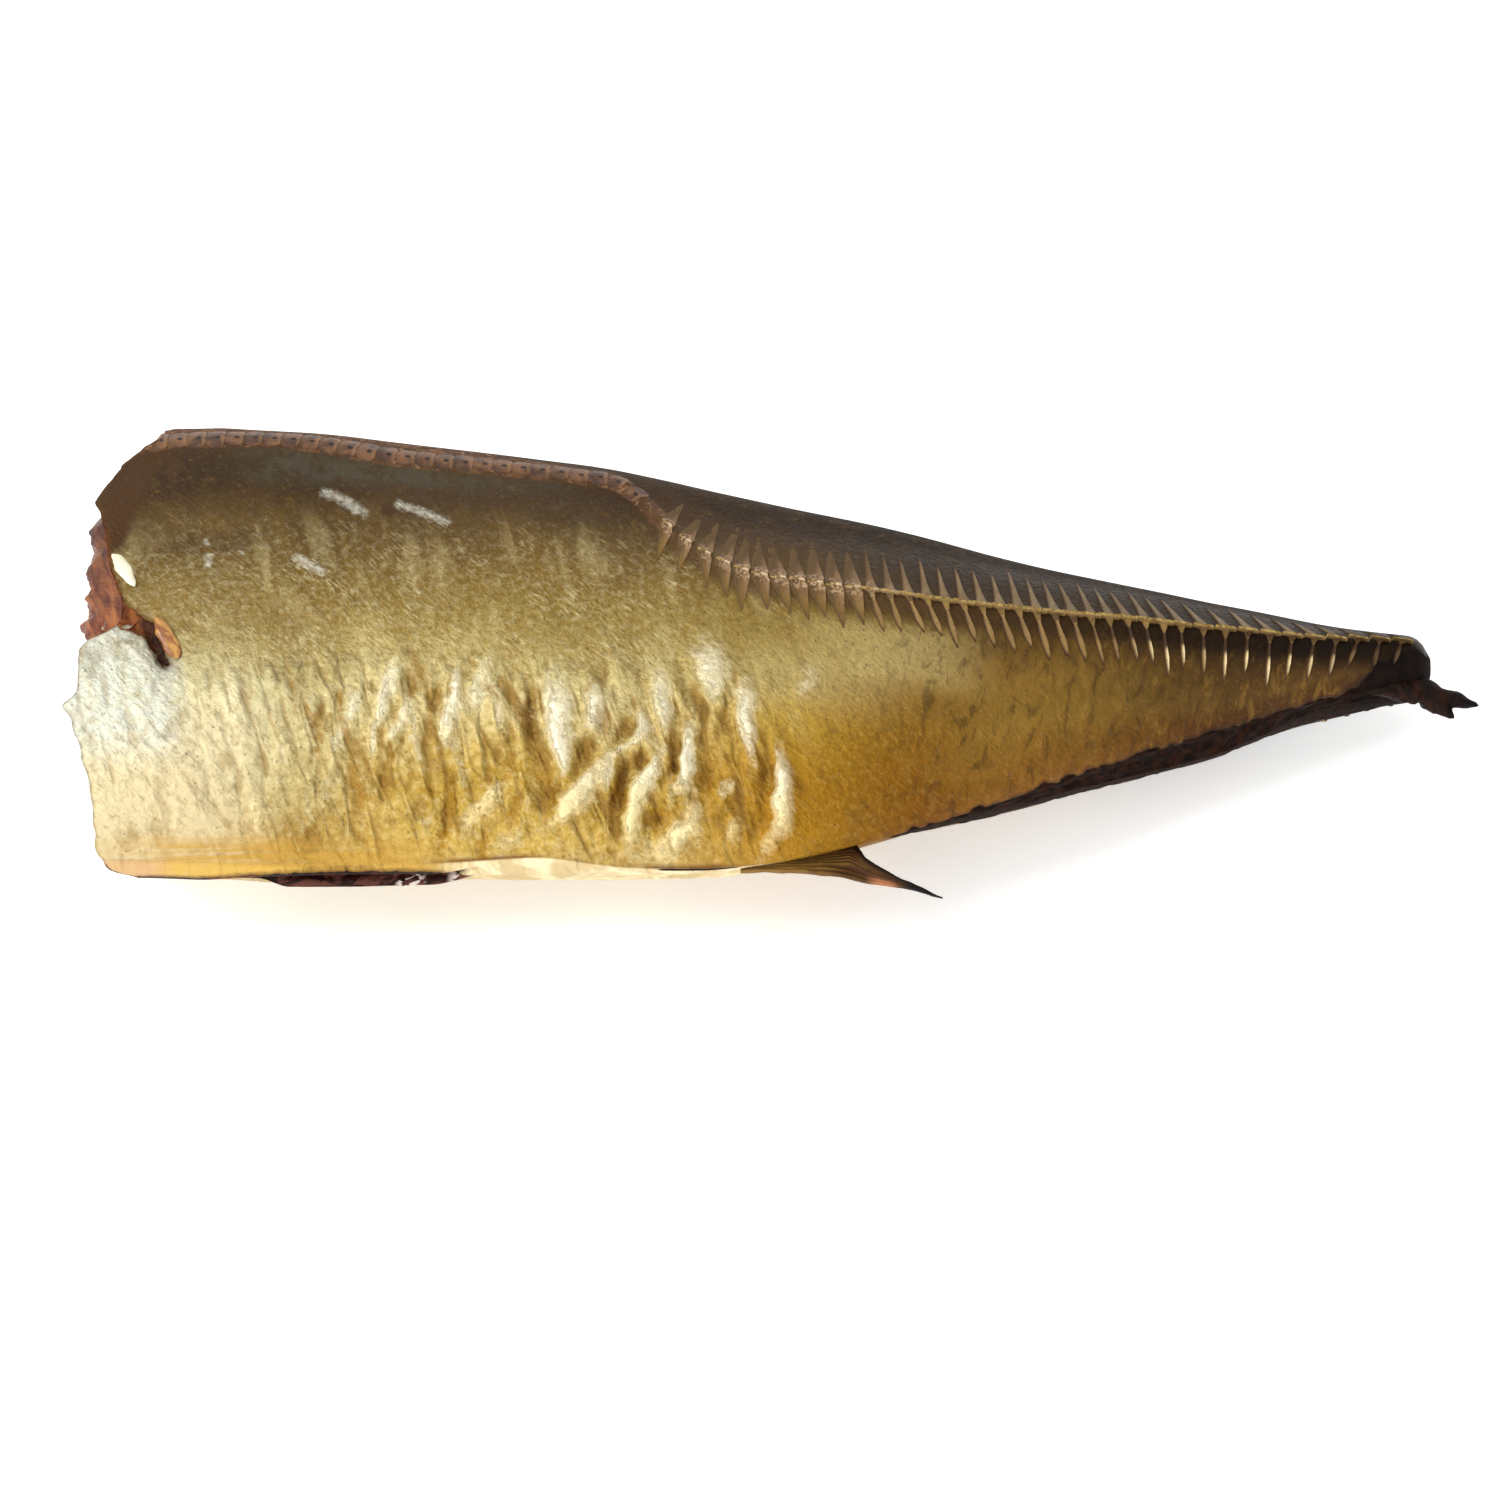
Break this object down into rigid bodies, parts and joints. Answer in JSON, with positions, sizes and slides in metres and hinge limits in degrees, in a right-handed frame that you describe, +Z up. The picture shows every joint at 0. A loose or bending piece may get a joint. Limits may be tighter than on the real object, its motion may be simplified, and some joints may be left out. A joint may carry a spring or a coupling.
{
  "type": "cold-smoked jack mackerel",
  "caption": "Headless, gutted cold-smoked jack mackerel lying on its side, with golden skin, a bony lateral keel, a slit belly and the stump of the anal fin.",
  "frame": {"origin": "on the surface that the fish lies on, below the middle of its bounding box", "axes": "+X from the head cut to the tail, +Y from the belly to the back, +Z up, from the flank that it lies on to the flank that shows"},
  "size_m": [0.2136, 0.0814, 0.0441],
  "materials": {
    "smoked_skin": "glossy oily skin, silver gold on the belly and brown grey on the back",
    "cut_flesh": "moist red brown cured flesh",
    "scutes_and_fin": "dry bony plates and fin rays, satin"
  },
  "bodies": {
    "root": {"fish_trunk": "smoked_skin"}
  },
  "joints": []
}
